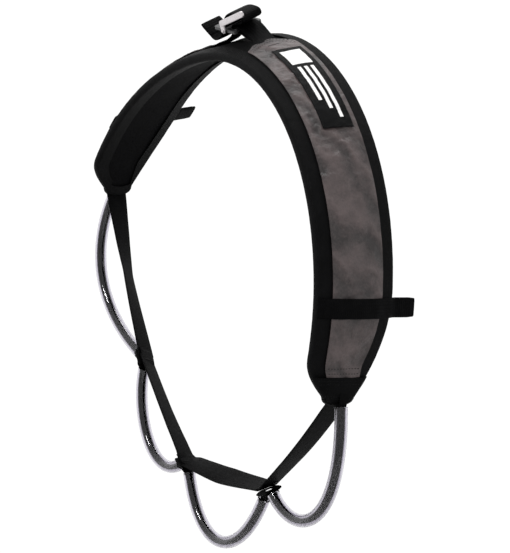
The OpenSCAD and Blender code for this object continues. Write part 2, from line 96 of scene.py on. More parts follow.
class SlingSizes(bpy.types.PropertyGroup):
    """Sizes of the sling, as on the frame"""

    front_reach: length("Front reach", "Arch's reach forward of the shoulder top", 0.200)
    back_reach: length("Back reach", "Arch's reach back from the shoulder top", 0.274)
    arch_height: length("Arch height", "From the shoulder top to the widest level", 0.227)
    slope: angle("Sideways slope", "Slope of the pad at the shoulder top", 17)
    slope_fade: angle("Slope fade", "Angle round the arch where the slope has faded", 75)
    pad_width: length("Pad width", "Over the edge tapes", 0.082)
    tip_width: length("Tip width", "Flat end of the pad", 0.029)
    arm_taper: length("Arm-side taper", "Rounding of the tips on the arm side", 0.040)
    neck_taper: length("Neck-side taper", "Taper of the tips on the neck side", 0.105)
    foam_edge: length("Foam edge", "Foam thickness at the edges", 0.003)
    crown_out: length("Outward crown", "Extra foam outwards along the middle", 0.0045)
    crown_in: length("Inward crown", "Extra foam inwards along the middle", 0.0025)
    tape_width: length("Tape width", "Edge tape on each face", 0.015)
    webbing_width: length("Webbing width", "Main strap", 0.025)
    webbing_thickness: length("Webbing thickness", "Main strap", 0.0016)
    keeper_width: length("Keeper width", "Keeper straps and tabs", 0.019)
    tube_diameter: length("Tube diameter", "Outside of the clear tubes", 0.0127)
    tube_wall: length("Tube wall", "Wall of the clear tubes", 0.0016)


class SlingColours(bpy.types.PropertyGroup):
    """Colours of the sling's cloth, webbing and metal"""

    black_cloth: paint("Black cloth", "Pad, tapes and tips", 0.0022, 0.0022, 0.0024)
    black_webbing: paint("Black webbing", "All straps", 0.0016, 0.0016, 0.0018)
    panel_cloth: paint("Panel cloth", "Grey-brown nylon", 0.040, 0.030, 0.0295)
    label_white: paint("Label white", "Woven motif", 0.88, 0.87, 0.86)
    metal: paint("Bright metal", "Lever, pin and locking bar", 0.66, 0.63, 0.64)


def size(name):
    return getattr(bpy.context.scene.sling_sizes, name)


def colour(name):
    return tuple(getattr(bpy.context.scene.sling_colours, name)) + (1.0,)


# ---- the shoulder arch

FRONT_END = math.radians(120)
BACK_END = math.radians(-66)
CLOTH = 0.0008
PLY = 0.0003
WEB_AT = 2 * PLY + CLOTH
CURVE = 0.235  # metres of pad for one radian, on the average


def seat_depth():
    return size("foam_edge") / 2 + size("crown_in") + PLY + CLOTH


def outward(t):
    return Vector((-t.z, 0, t.x))


def banked(t, angle):
    """Direction across a strap that heads along t and is turned sideways by angle"""
    return SIDE * math.cos(angle) + outward(t) * math.sin(angle)


def lifted(t, angle):
    """Direction out of a strap's face"""
    return outward(t) * math.cos(angle) - SIDE * math.sin(angle)


def reach(a):
    return size("back_reach") if a < 0 else size("front_reach")


def heading(a):
    return Vector((reach(a) * math.cos(a), 0, -size("arch_height") * math.sin(a))).normalized()


def bank(a):
    return size("slope") * math.exp(-((a / size("slope_fade")) ** 2))


def arch_base():
    return lifted(FORWARD, size("slope")) * seat_depth()


def ring_point(a, share):
    return arch_base() + Vector((reach(a) * share * math.sin(a), 0,
                                 size("arch_height") * (share * math.cos(a) - 1)))


def out_of_pad(a):
    """Direction out of the pad's middle surface at angle a"""
    return lifted(heading(a), bank(a))


def across_pad(a):
    return banked(heading(a), bank(a))


def on_pad(a, v, w):
    """The point at angle a, v across the pad towards the neck and w out of its middle surface"""
    return ring_point(a, 1) + across_pad(a) * v + out_of_pad(a) * w


def pace(a):
    """Metres of arch for one radian at angle a"""
    return math.hypot(reach(a) * math.cos(a), size("arch_height") * math.sin(a))


def rise(s, length):
    return 1.0 if s >= length else math.sin(math.pi / 2 * max(s, 0) / length)


def half_width(a, taper):
    tip = size("tip_width") / 2
    near = min(rise((FRONT_END - a) * pace(FRONT_END), taper), rise((a - BACK_END) * pace(BACK_END), taper))
    return tip + (size("pad_width") / 2 - tip) * near


def edge_of(a, v):
    return half_width(a, size("arm_taper") if v < 0 else size("neck_taper"))


def plump(a):
    tip = size("tip_width") / 2
    return (half_width(a, size("neck_taper")) - tip) / (size("pad_width") / 2 - tip)


def crown(a, v):
    return plump(a) * max(0.0, 1 - (v / edge_of(a, v)) ** 2)


def outer_face(a, v):
    return size("foam_edge") / 2 + size("crown_out") * crown(a, v)


def inner_face(a, v):
    return -size("foam_edge") / 2 - size("crown_in") * crown(a, v)


def tape_in(edge):
    return min(size("tape_width"), edge - size("webbing_width") / 2 - 2 * PLY)


def mix(a, b, t):
    return a + (b - a) * t


def ripple(a, v, scale, depth, seed=0.0):
    """Smooth unevenness of cloth at a place on the pad"""
    return noise.noise(Vector((a * CURVE / scale, v / scale, seed))) * depth


# ---- making meshes


def choose(*objs):
    """Selects only these objects, with the last one active"""
    if bpy.context.mode != "OBJECT":
        bpy.ops.object.mode_set(mode="OBJECT")
    bpy.ops.object.select_all(action="DESELECT")
    for obj in objs:
        obj.select_set(True)
        bpy.context.view_layer.objects.active = obj


def join(*objs):
    """Joins objects into the last one"""
    choose(*objs)
    bpy.ops.object.join()
    return bpy.context.active_object


def edit(obj, *steps):
    """Runs edit-mode steps on the whole of obj, each a function"""
    choose(obj)
    bpy.ops.object.mode_set(mode="EDIT")
    bpy.ops.mesh.select_all(action="SELECT")
    for step in steps:
        step()
    bpy.ops.object.mode_set(mode="OBJECT")


def solidify(obj, thickness, offset):
    choose(obj)
    modifier = obj.modifiers.new("Solidify", "SOLIDIFY")
    modifier.thickness = thickness
    modifier.offset = offset
    bpy.ops.object.modifier_apply(modifier=modifier.name)
    edit(obj, outward_normals)


def outward_normals():
    bpy.ops.mesh.normals_make_consistent(inside=False)


def smooth_shade(obj, degrees=40):
    choose(obj)
    bpy.ops.object.shade_smooth_by_angle(angle=math.radians(degrees))


def grid(name, along, across, place, spread):
    """A grid of cells laid out by place(s, t), with a UV map in metres: spread is its (width, length)"""
    choose()
    bpy.ops.mesh.primitive_grid_add(x_subdivisions=across, y_subdivisions=along, size=2)
    obj = bpy.context.active_object
    obj.name = obj.data.name = name
    for uv in obj.data.uv_layers[0].data:
        uv.uv = (uv.uv.x * spread[0], uv.uv.y * spread[1])
    obj.data.uv_layers[0].name = "Weave"
    for vertex in obj.data.vertices:
        vertex.co = place((vertex.co.y + 1) / 2, (vertex.co.x + 1) / 2)
    return obj


def close_tube(obj, capped=True):
    """Joins the first and last columns of a grid, and fills its two ends"""
    edit(obj, lambda: bpy.ops.mesh.remove_doubles(threshold=0.00001))
    if capped:
        edit(obj, lambda: bpy.ops.mesh.select_all(action="DESELECT"),
             lambda: bpy.ops.mesh.select_non_manifold(extend=False),
             lambda: bpy.ops.mesh.fill())
    edit(obj, outward_normals)


def panel_sheet(name, a0, a1, low, high, height, along, across=24, thick=CLOTH, arch=0.0):
    """Cloth on the pad's outer face between angles a0 and a1 and two lateral limits, its start arched"""
    def place(s, t):
        a = mix(a0, a1, s)
        v = mix(low(a), high(a), t)
        a = mix(a0 + arched(v, arch), a1, s)
        return on_pad(a, v, height(a, v))
    middle = (a0 + a1) / 2
    obj = grid(name, along, across, place, (high(middle) - low(middle), abs(a1 - a0) * 0.22))
    solidify(obj, thick, 0)
    smooth_shade(obj)
    return obj


# ---- routes


def resample(points, step):
    """Points a step apart on a smooth curve through the given (place, across) pairs"""
    fine = []
    last = len(points) - 1
    for i in range(last):
        p0, p1 = points[max(i - 1, 0)], points[i]
        p2, p3 = points[i + 1], points[min(i + 2, last)]
        gap = (p2[0] - p1[0]).length
        count = max(1, round(gap / step))
        scale_in = gap / max((p2[0] - p0[0]).length, 1e-9)
        scale_out = gap / max((p3[0] - p1[0]).length, 1e-9)
        for k in range(count):
            t = k / count
            h = (2 * t**3 - 3 * t**2 + 1, t**3 - 2 * t**2 + t, 3 * t**2 - 2 * t**3, t**3 - t**2)
            place = (p1[0] * h[0] + (p2[0] - p0[0]) * scale_in * h[1]
                     + p2[0] * h[2] + (p3[0] - p1[0]) * scale_out * h[3])
            fine.append((place, p1[1].lerp(p2[1], t).normalized()))
    fine.append(points[-1])
    return fine


def headings(route):
    last = len(route) - 1
    return [(route[min(i + 1, last)][0] - route[max(i - 1, 0)][0]).normalized() for i in range(last + 1)]


def route_length(route):
    return sum((b[0] - a[0]).length for a, b in zip(route, route[1:]))


def lerp_list(values, s):
    """Value at share s of an evenly spaced list"""
    x = s * (len(values) - 1)
    i = min(int(x), len(values) - 2)
    return mix(values[i], values[i + 1], x - i)


def ribbon(name, route, width, thickness, widths=(1, 1), thicknesses=(1, 1), sides=16, power=0.35, wobble=0.0):
    """Webbing with rounded selvedges along a route. widths and thicknesses are shares along it"""
    ts = headings(route)
    last = len(route) - 1
    total = route_length(route)

    def place(s, t):
        i = round(s * last)
        centre, lay = route[i]
        normal = ts[i].cross(lay).normalized()
        angle = 2 * math.pi * t
        c, n = math.cos(angle), math.sin(angle)
        w = width / 2 * lerp_list(widths, s)
        d = thickness / 2 * lerp_list(thicknesses, s)
        lift = noise.noise(Vector((s * total / 0.018, 3.7, width * 100))) * wobble
        side = math.copysign(abs(c) ** power, c)
        return centre + lay * (w * side) + normal * (d * math.copysign(abs(n) ** 0.8, n) + lift)

    obj = grid(name, last, sides, place, (2 * (width + thickness), total))
    close_tube(obj)
    smooth_shade(obj, 60)
    return obj


def sew(name, spots, length=0.0026, radius=0.00028, body=BAND, nodes=()):
    """Thread: one small rounded stitch at each (place, direction, out)"""
    rings = 3
    sides = 6
    verts, faces = [], []
    for place, along, out in spots:
        side = along.cross(out).normalized()
        base = len(verts)
        for i in range(rings):
            x = (i / (rings - 1) - 0.5) * length
            fat = 1.0 if i == 1 else 0.55
            sink = 0.0 if i == 1 else radius * 0.9
            for k in range(sides):
                q = 2 * math.pi * k / sides
                verts.append(place + along * x + side * (radius * fat * math.cos(q))
                             + out * (radius * fat * math.sin(q) - sink))
        for i in range(rings - 1):
            for k in range(sides):
                n = (k + 1) % sides
                faces.append((base + i * sides + k, base + i * sides + n,
                              base + (i + 1) * sides + n, base + (i + 1) * sides + k))
        faces.append(tuple(base + k for k in reversed(range(sides))))
        faces.append(tuple(base + (rings - 1) * sides + k for k in range(sides)))
    mesh = bpy.data.meshes.new(name)
    mesh.from_pydata(verts, [], faces)
    obj = bpy.data.objects.new(name, mesh)
    bpy.context.scene.collection.objects.link(obj)
    edit(obj, outward_normals)
    smooth_shade(obj, 80)
    dress(obj, "bonded_thread", body, nodes)


def seam_on_pad(a0, a1, v_of, height_of, pitch=0.0036):
    """Spots for a seam along the pad's outer face"""
    spots = []
    a = a0
    while a < a1:
        here = on_pad(a, v_of(a), height_of(a, v_of(a)))
        step = pitch / pace(a)
        there = on_pad(a + step, v_of(a + step), height_of(a + step, v_of(a + step)))
        spots.append((here, (there - here).normalized(), out_of_pad(a)))
        a += step
    return spots


def seam_across(a_of, v0, v1, height_of, pitch=0.003):
    """Spots for a seam across the pad's outer face"""
    spots = []
    count = max(2, int(abs(v1 - v0) / pitch))
    for k in range(count):
        v = mix(v0, v1, (k + 0.5) / count)
        a, beyond = a_of(v), v + 0.001
        here = on_pad(a, v, height_of(a, v))
        there = on_pad(a_of(beyond), beyond, height_of(a_of(beyond), beyond))
        spots.append((here, (there - here).normalized(), out_of_pad(a)))
    return spots


# ---- finishes


class Finish:
    """A node material with one Principled shader, built up by small steps"""

    def __init__(self, name, base, roughness, **sockets):
        self.material = bpy.data.materials.new(name)
        self.material.use_nodes = True
        self.tree = self.material.node_tree
        self.shader = self.tree.nodes["Principled BSDF"]
        self.shader.inputs["Base Color"].default_value = base
        self.shader.inputs["Roughness"].default_value = roughness
        for key, value in sockets.items():
            self.shader.inputs[key.replace("_", " ")].default_value = value
        self.normal = None

    def node(self, kind, **values):
        made = self.tree.nodes.new(kind)
        for key, value in values.items():
            if hasattr(made, key):
                setattr(made, key, value)
            else:
                made.inputs[key].default_value = value
        return made

    def link(self, out, into):
        self.tree.links.new(out, into)

    def coordinates(self, output):
        found = self.tree.nodes.get("Coordinates")
        if not found:
            found = self.node("ShaderNodeTexCoord")
            found.name = "Coordinates"
        return found.outputs[output]

    def math(self, operation, a, b=None):
        made = self.node("ShaderNodeMath", operation=operation)
        for socket, value in zip(made.inputs, (a, b)):
            if isinstance(value, (int, float)):
                socket.default_value = value
            elif value:
                self.link(value, socket)
        return made.outputs[0]

    def noise(self, scale, detail=3.0, roughness=0.55):
        made = self.node("ShaderNodeTexNoise", Scale=scale, Detail=detail, Roughness=roughness)
        self.link(self.coordinates("Object"), made.inputs["Vector"])
        return made.outputs["Fac"]

    def bump(self, height, strength, distance):
        made = self.node("ShaderNodeBump", Strength=strength, Distance=distance)
        self.link(height, made.inputs["Height"])
        if self.normal:
            self.link(self.normal, made.inputs["Normal"])
        self.normal = made.outputs["Normal"]
        self.link(self.normal, self.shader.inputs["Normal"])

    def shades(self, factor, dark, light, low=0.3, high=0.7):
        ramp = self.node("ShaderNodeValToRGB")
        for stop, position, tone in zip(ramp.color_ramp.elements, (low, high), (dark, light)):
            stop.position = position
            stop.color = tone
        self.link(factor, ramp.inputs["Fac"])
        self.link(ramp.outputs["Color"], self.shader.inputs["Base Color"])

    def roughen(self, factor, low, high):
        made = self.node("ShaderNodeMapRange", **{"To Min": low, "To Max": high})
        self.link(factor, made.inputs["Value"])
        self.link(made.outputs["Result"], self.shader.inputs["Roughness"])

    def weave(self, across_pitch, along_pitch, twill=0.0):
        """Height of a woven cloth on the UV map, in threads of the given pitches"""
        split = self.node("ShaderNodeSeparateXYZ")
        self.link(self.coordinates("UV"), split.inputs["Vector"])
        u = self.math("MULTIPLY", split.outputs["X"], 2 * math.pi / across_pitch)
        v = self.math("MULTIPLY", split.outputs["Y"], 2 * math.pi / along_pitch)
        if twill:
            v = self.math("ADD", v, self.math("MULTIPLY", u, twill))
        return self.math("MULTIPLY", self.math("SINE", u), self.math("SINE", v))


MADE = {}


def scaled(rgba, factor):
    return tuple(min(1.0, c * factor) for c in rgba[:3]) + (1.0,)


def finish_of(name):
    """The named finish, made the first time it is asked for"""
    if name not in MADE:
        MADE[name] = woven(name, *WOVEN[name]) if name in WOVEN else FINISHES[name]()
    return MADE[name]


# Cloths and thread: colour, its factor, roughness, dark and light tones, their mottling, weave and fuzz
# as bumps of (pitches or scale, strength, distance), and the shader's other sockets
WOVEN = {
    "pack_cloth": ("black_cloth", 1, 0.72, (0.7, 1.5), (60, 4),
                   ((0.0011, 0.0011), 0.5, 0.00012), ((220, 4), 0.35, 0.0004), {"Specular_IOR_Level": 0.05}),
    "edge_tape": ("black_cloth", 1, 0.6, (0.75, 1.45), (90, 3),
                  ((0.0012, 0.0008), 0.6, 0.0002), ((120, 3), 0.3, 0.0006), {"Specular_IOR_Level": 0.06}),
    "nylon_webbing": ("black_webbing", 1, 0.55, (0.7, 1.6), (150, 3),
                      ((0.0026, 0.0019, 1.0), 0.6, 0.0003), ((500, 2), 0.25, 0.0003),
                      {"Specular_IOR_Level": 0.035}),
    "woven_label": ("black_cloth", 1.1, 0.5, (0.8, 1.3), (200, 2),
                    ((0.0007, 0.0014), 0.5, 0.0001), None, {"Specular_IOR_Level": 0.06}),
    "white_thread": ("label_white", 1, 0.6, (0.9, 1.05), (400, 3), ((0.0008, 0.0012), 0.5, 0.0001), None,
                     {"Sheen_Weight": 0.2, "Sheen_Roughness": 0.4, "Specular_IOR_Level": 0.4}),
    "bonded_thread": ("black_webbing", 1.8, 0.5, (0.7, 1.4), (900, 2), None,
                      ((2200, 2), 0.4, 0.0001), {"Specular_IOR_Level": 0.1}),
}


def woven(name, hue, factor, roughness, tones, mottle, weave, fuzz, sockets):
    base = scaled(colour(hue), factor)
    f = Finish(name, base, roughness, **sockets)
    f.shades(f.noise(*mottle), scaled(base, tones[0]), scaled(base, tones[1]))
    if weave:
        f.bump(f.weave(*weave[0]), *weave[1:])
    if fuzz:
        f.bump(f.noise(*fuzz[0]), *fuzz[1:])
    return f.material


def lining_finish():
    """Black spacer knit with open cells"""
    base = scaled(colour("black_cloth"), 1.2)
    f = Finish("spacer_knit", base, 0.85, Specular_IOR_Level=0.04)
    cells = f.node("ShaderNodeTexVoronoi", feature="DISTANCE_TO_EDGE", Scale=420.0)
    f.link(f.coordinates("UV"), cells.inputs["Vector"])
    # Painted shade: lighter along the cells' rims and darker towards their middles, where the open holes would
    # be in shade
    f.shades(cells.outputs["Distance"], scaled(base, 1.6), scaled(base, 0.5), low=0.05, high=0.3)
    f.bump(cells.outputs["Distance"], 0.7, 0.0006)
    f.bump(f.noise(40, 3), 0.4, 0.0015)
    return f.material


def panel_finish():
    """Grey-brown nylon, crinkled, with a slight sheen"""
    base = colour("panel_cloth")
    f = Finish("panel_nylon", base, 0.42, Sheen_Weight=0.05, Sheen_Roughness=0.35, Specular_IOR_Level=0.45)
    creases = f.node("ShaderNodeTexWave", wave_type="BANDS", bands_direction="DIAGONAL", Scale=11.0,
                     Distortion=14.0, Detail=4.0)
    f.link(f.coordinates("Object"), creases.inputs["Vector"])
    patches = f.noise(42, 5, 0.62)
    specks = f.noise(420, 3, 0.7)
    # Painted shade and painted highlights: the patches and crease bands darken and lighten the colour where
    # light would fall on the wrinkles, and the fine specks mottle it
    tone = f.math("ADD", f.math("MULTIPLY", patches, 0.55), f.math("MULTIPLY", creases.outputs["Fac"], 0.2))
    tone = f.math("ADD", tone, f.math("MULTIPLY", specks, 0.25))
    # The ramp runs from painted shade at 0.42 of the base colour to painted highlight at 2.3 of it
    f.shades(tone, scaled(base, 0.42), scaled(base, 2.3), low=0.36, high=0.68)
    f.roughen(patches, 0.30, 0.55)
    f.bump(f.weave(0.0010, 0.0010), 0.45, 0.00012)
    f.bump(patches, 0.8, 0.004)
    f.bump(creases.outputs["Fac"], 0.7, 0.003)
    return f.material


def bright_finish():
    """Satin metal with fine brush marks and worn edges"""
    base = colour("metal")
    f = Finish("satin_metal", base, 0.33, Metallic=1.0)
    scratches = f.noise(700, 5, 0.7)
    f.shades(scratches, scaled(base, 0.82), scaled(base, 1.15))
    f.roughen(scratches, 0.24, 0.42)
    f.bump(f.noise(1500, 3), 0.12, 0.0002)
    return f.material


def black_metal_finish():
    """Black coated metal, rubbed a little"""
    f = Finish("black_metal", (0.012, 0.012, 0.013, 1), 0.42, Specular_IOR_Level=0.5, Coat_Weight=0.3,
               Coat_Roughness=0.3)
    specks = f.noise(500, 5, 0.65)
    f.shades(specks, (0.008, 0.008, 0.009, 1), (0.03, 0.03, 0.031, 1))
    f.roughen(specks, 0.34, 0.5)
    f.bump(f.noise(1800, 2), 0.15, 0.0002)
    return f.material


def tube_finish():
    """Clear soft vinyl with faint haze and handling marks"""
    f = Finish("clear_vinyl", (0.62, 0.60, 0.66, 1), 0.08, Transmission_Weight=1.0, IOR=1.46,
               Specular_IOR_Level=0.5)
    f.roughen(f.noise(120, 4), 0.02, 0.09)
    f.bump(f.noise(90, 3), 0.04, 0.0005)
    return f.material


FINISHES = {
    "spacer_knit": lining_finish, "panel_nylon": panel_finish, "satin_metal": bright_finish,
    "black_metal": black_metal_finish, "clear_vinyl": tube_finish,
}


def dress(obj, finish, body=BAND, nodes=()):
    """Gives a piece its finish, its slot, its body and the frame nodes it stands for"""
    obj.data.materials.clear()
    obj.data.materials.append(finish_of(finish))
    if body:
        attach(obj, body)
    if nodes:
        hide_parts(*nodes)
    return obj


def webbing(name, route, body=BAND, nodes=(), thick=1, **shares):
    """The main strap's webbing along a route, on one body, or on none for a piece to be blended"""
    piece = ribbon(name, route, size("webbing_width"), size("webbing_thickness") * thick, **shares)
    return dress(piece, "nylon_webbing", body, nodes)


# ---- pad


FOLD = 0.0022  # radius of the edge tape's fold
TIP_STANDOUT = 0.0012  # how far the tape stands out beside a tip's flat end
TAPE_THICK = 0.0009


def make_pad():
    def place(s, t):
        a = mix(BACK_END, FRONT_END, s)
        top = t < 0.5
        x = 4 * t - 1 if top else 3 - 4 * t
        side = -1 if x < 0 else 1
        v = math.sin(math.pi / 2 * x) * (edge_of(a, side) - 0.0016)
        if top:
            return on_pad(a, v, outer_face(a, v) + CLOTH + PLY + ripple(a, v, 0.03, 0.0007))
        return on_pad(a, v, inner_face(a, v) - CLOTH * 0.5 + ripple(a, v, 0.035, 0.0008, 4.0))

    pad = grid("pad", 260, 56, place, (0.17, 0.74))
    close_tube(pad)
    smooth_shade(pad, 60)
    dress(pad, "pack_cloth", BAND, ("pad_foam", "pad_cover", "pad_lining"))
    pad.data.materials.append(finish_of("spacer_knit"))
    for face in pad.data.polygons:
        down = (face.center.z - arch_base().z) / size("arch_height")
        a = math.atan2(face.center.x / reach(face.center.x), 1 + down)
        if face.normal.dot(out_of_pad(a)) < 0:
            face.material_index = 1


def tape_profile(a, side, share):
    """A point of the edge tape's folded section, from the outer face round the edge to the inner one"""
    edge = edge_of(a, side)
    x = 1 - 2 * share
    top = x >= 0
    x = abs(x)
    inset = max(tape_in(edge), FOLD) * x**1.6
    v = edge - inset
    face = outer_face(a, side * v) if top else -inner_face(a, side * v)
    fold = min(1.0, inset / FOLD)
    height = (face + 0.0020) * math.sqrt(max(0.0, 1 - (1 - fold) ** 2))
    pucker = 0.00028 * noise.noise(Vector((a * CURVE / 0.006, side * 5.0, x * 1.5))) * (1 - x)
    return on_pad(a, side * v, (height + pucker) if top else -(height - 0.0006) - pucker)


def tip_profile(end, way, v, share):
    """A point of the tape folded round a tip: the tip bulges a little between its corners"""
    half = size("tip_width") / 2 + TIP_STANDOUT
    bulge = 0.0068 * math.sqrt(max(0.0, 1 - (v / half) ** 2))
    x = 1 - 2 * share
    inset = 0.012 * abs(x) ** 1.6
    a = end + way * (bulge - inset) / pace(end)
    face = outer_face(a, v) if x >= 0 else -inner_face(a, v)
    fold = min(1.0, inset / FOLD)
    height = (face + 0.0019) * math.sqrt(max(0.0, 1 - (1 - fold) ** 2))
    return on_pad(a, v, height if x >= 0 else 0.0006 - height)


def make_tapes():
    spots = []
    for side, name in ((1, "neck"), (-1, "arm")):
        def place(s, t, side=side):
            return tape_profile(mix(BACK_END, FRONT_END, s), side, t)
        tape = grid(f"edge_tape_{name}_side", 340, 26, place, (0.036, 0.74))
        solidify(tape, TAPE_THICK, -side)
        smooth_shade(tape, 60)
        dress(tape, "edge_tape", BAND, (f"binding_{name}_side",))

        def line(a, side=side):
            edge = edge_of(a, side)
            return side * (edge - max(tape_in(edge), FOLD) + 0.0019)
        spots += seam_on_pad(BACK_END + 0.02, FRONT_END - 0.02, line, lambda a, v: outer_face(a, v) + 0.0021)
    for name, end, way in (("front", FRONT_END, 1), ("back", BACK_END, -1)):
        half = size("tip_width") / 2 + TIP_STANDOUT
        tape = grid(f"tip_tape_{name}", 26, 26, lambda s, t: tip_profile(end, way, half * (2 * s - 1), t),
                    (0.03, 0.03))
        solidify(tape, TAPE_THICK, way)
        smooth_shade(tape, 60)
        dress(tape, "edge_tape")
    sew("edge_tape_stitching", spots)


# ---- panels

PANEL_AT = WEB_AT + 0.0016 + 0.0008
FRONT_SEED, BACK_SEED = 1.0, 9.0
FRONT_PANEL_FROM = math.radians(16.6)
BACK_PANEL_FROM = math.radians(-13.9)
PANEL_ARCH = math.radians(2.4)
TIP_PATCH = 0.025


def smoothstep(x):
    x = min(1.0, max(0.0, x))
    return x * x * (3 - 2 * x)


def layer_over(a, v, low, high, fall):
    """Height over the outer face of a layer that sinks from high to low towards the pad's edge"""
    return outer_face(a, v) + mix(low, high, smoothstep((edge_of(a, v) - abs(v)) / fall))


def patch_height(a, v):
    """A tip's patch lies over the panel and the strap, and on the tape at its sides"""
    return layer_over(a, v, 0.0034, PANEL_AT + 0.0014, 0.005)


def arched(v, arch):
    """How far a panel's end runs on at v, as an angle"""
    return arch * (1.7 * (v / 0.027) ** 2 - 1)


def crinkle(a, v, seed):
    """Geometry of the panel's creases: slack cloth pulled by its seams"""
    slant = a + v * 2.4
    long = ripple(slant, v * 0.5, 0.016, 0.0016, seed)
    short = ripple(a * 1.3, v * 0.8, 0.008, 0.0009, seed + 3)
    edge = max(0.0, 1 - (v / (edge_of(a, v) - tape_in(edge_of(a, v)) + 0.002)) ** 4)
    return (long + short) * edge


def panel_height(a, v, seed):
    """Panel cloth lies on the tape at its sides and over the strap in the middle"""
    return outer_face(a, v) + PANEL_AT + CLOTH / 2 + crinkle(a, v, seed)


def make_panels():
    overlap = 0.0006
    front_to = FRONT_END - TIP_PATCH / pace(FRONT_END)
    back_to = BACK_END + TIP_PATCH / pace(BACK_END)

    def low(a):
        return tape_in(edge_of(a, -1)) - edge_of(a, -1) - overlap

    def high(a):
        return edge_of(a, 1) - tape_in(edge_of(a, 1)) + overlap

    for name, a0, a1, seed, arch in (("front", FRONT_PANEL_FROM, front_to, FRONT_SEED, PANEL_ARCH),
                                     ("back", BACK_PANEL_FROM, back_to, BACK_SEED, -PANEL_ARCH)):
        sheet = panel_sheet(f"panel_{name}", a0, a1, low, high, lambda a, v: panel_height(a, v, seed), 220, 40,
                            arch=arch)
        dress(sheet, "panel_nylon", BAND, (f"panel_{name}",))

    ends = []
    for start, way, seed, arch in (
            (FRONT_PANEL_FROM, 1, FRONT_SEED, PANEL_ARCH), (front_to, -1, FRONT_SEED, 0.0),
            (BACK_PANEL_FROM, -1, BACK_SEED, -PANEL_ARCH), (back_to, 1, BACK_SEED, 0.0)):
        for inset in (0.0035, 0.0085):
            a = start + way * inset / pace(start)
            ends += seam_across(lambda v, a=a, arch=arch: a + arched(v, arch), low(a) + 0.002, high(a) - 0.002,
                                lambda a, v, seed=seed: panel_height(a, v, seed) + CLOTH / 2)
    sew("panel_end_stitching", ends, 0.0026, 0.0004)
    tack = []
    for row in (-0.0005, 0.0005):
        a = FRONT_PANEL_FROM + (0.0165 + row) / pace(0)
        tack += seam_across(lambda v, a=a: a + arched(v, PANEL_ARCH), -0.006, 0.008,
                            lambda a, v: panel_height(a, v, FRONT_SEED) + CLOTH / 2, 0.0009)
    sew("panel_tack", tack)

    for name, a0, a1 in (("front", front_to, FRONT_END), ("back", BACK_END, back_to)):
        patch = panel_sheet(
            f"tip_patch_{name}", a0, a1, lambda a: 0.0015 - edge_of(a, -1), lambda a: edge_of(a, 1) - 0.0015,
            lambda a, v: patch_height(a, v) + ripple(a, v, 0.012, 0.0006, 6.0), 30, 30, 0.0012)
        dress(patch, "pack_cloth", BAND, (f"tip_patch_{name}",))
    spots = []
    for start, way in ((front_to, 1), (back_to, -1), (FRONT_END, -1), (BACK_END, 1)):
        for inset in (0.003, 0.0065):
            a = start + way * inset / pace(start)
            spots += seam_across(lambda v, a=a: a, 0.003 - edge_of(a, -1), edge_of(a, 1) - 0.003,
                                 lambda a, v: patch_height(a, v) + 0.0007)
    sew("tip_stitching", spots)


# ---- label

LABEL_FROM = FRONT_PANEL_FROM + math.radians(6.6)
LABEL_LENGTH = 0.113
LABEL_WIDTH = 0.032
LABEL_MIDDLE = 0.005
MOTIF_GAP = 0.005
MOTIF_MARGIN = 0.005
LONGEST_BAR = 0.066
BAR_STEP = 0.010


def label_height(a, v):
    return panel_height(a, v, FRONT_SEED) * 0.35 + (outer_face(a, v) + PANEL_AT + 0.001) * 0.65 + 0.0009


def make_label():
    label_to = LABEL_FROM + LABEL_LENGTH / pace(math.radians(35))
    left = LABEL_MIDDLE - LABEL_WIDTH / 2
    right = LABEL_MIDDLE + LABEL_WIDTH / 2
    ground = panel_sheet("label_ground", LABEL_FROM, label_to, lambda a: left, lambda a: right,
                         label_height, 80, 24, 0.0006)
    dress(ground, "woven_label", BAND, ("label_base",))

    patch = LABEL_WIDTH * 0.68
    bar = patch * 0.16
    edge = right - MOTIF_MARGIN
    square_from = LABEL_FROM + math.radians(1.7)
    bars_from = square_from + (patch * 1.15 + MOTIF_GAP) / pace(math.radians(30))
    shapes = [(square_from, patch * 1.15, edge - patch, edge)]
    for k in range(3):
        top = edge - 0.002 - bar * 2 * k
        shapes.append((bars_from, LONGEST_BAR - BAR_STEP * k, top - bar, top))
    made = []
    for k, (start, length, v0, v1) in enumerate(shapes):
        made.append(panel_sheet(f"motif_{k}", start, start + length / pace(start), lambda a: v0, lambda a: v1,
                                lambda a, v: label_height(a, v) + 0.0005, 24, 8, 0.0004))
    motif = join(*made[1:], made[0])
    motif.name = "label_motif_weave"
    dress(motif, "white_thread", BAND, ("label_motif",))

    spots = []
    for v in (left + 0.0011, right - 0.0008):
        spots += seam_on_pad(LABEL_FROM + 0.004, label_to - 0.004, lambda a, v=v: v,
                             lambda a, v: label_height(a, v) + 0.0004, 0.003)
    for a in (LABEL_FROM + 0.005, label_to - 0.005):
        spots += seam_across(lambda v, a=a: a, left + 0.001, right - 0.001,
                             lambda a, v: label_height(a, v) + 0.0004)
    sew("label_stitching", spots, 0.0022, 0.0002)


# ---- keepers

KEEPERS = (("front", FRONT_END, -0.088), ("back", BACK_END, 0.092))
TAB_STAND = 0.004
TAB_LIFT = 0.0015
TAB_LENGTH = 0.022


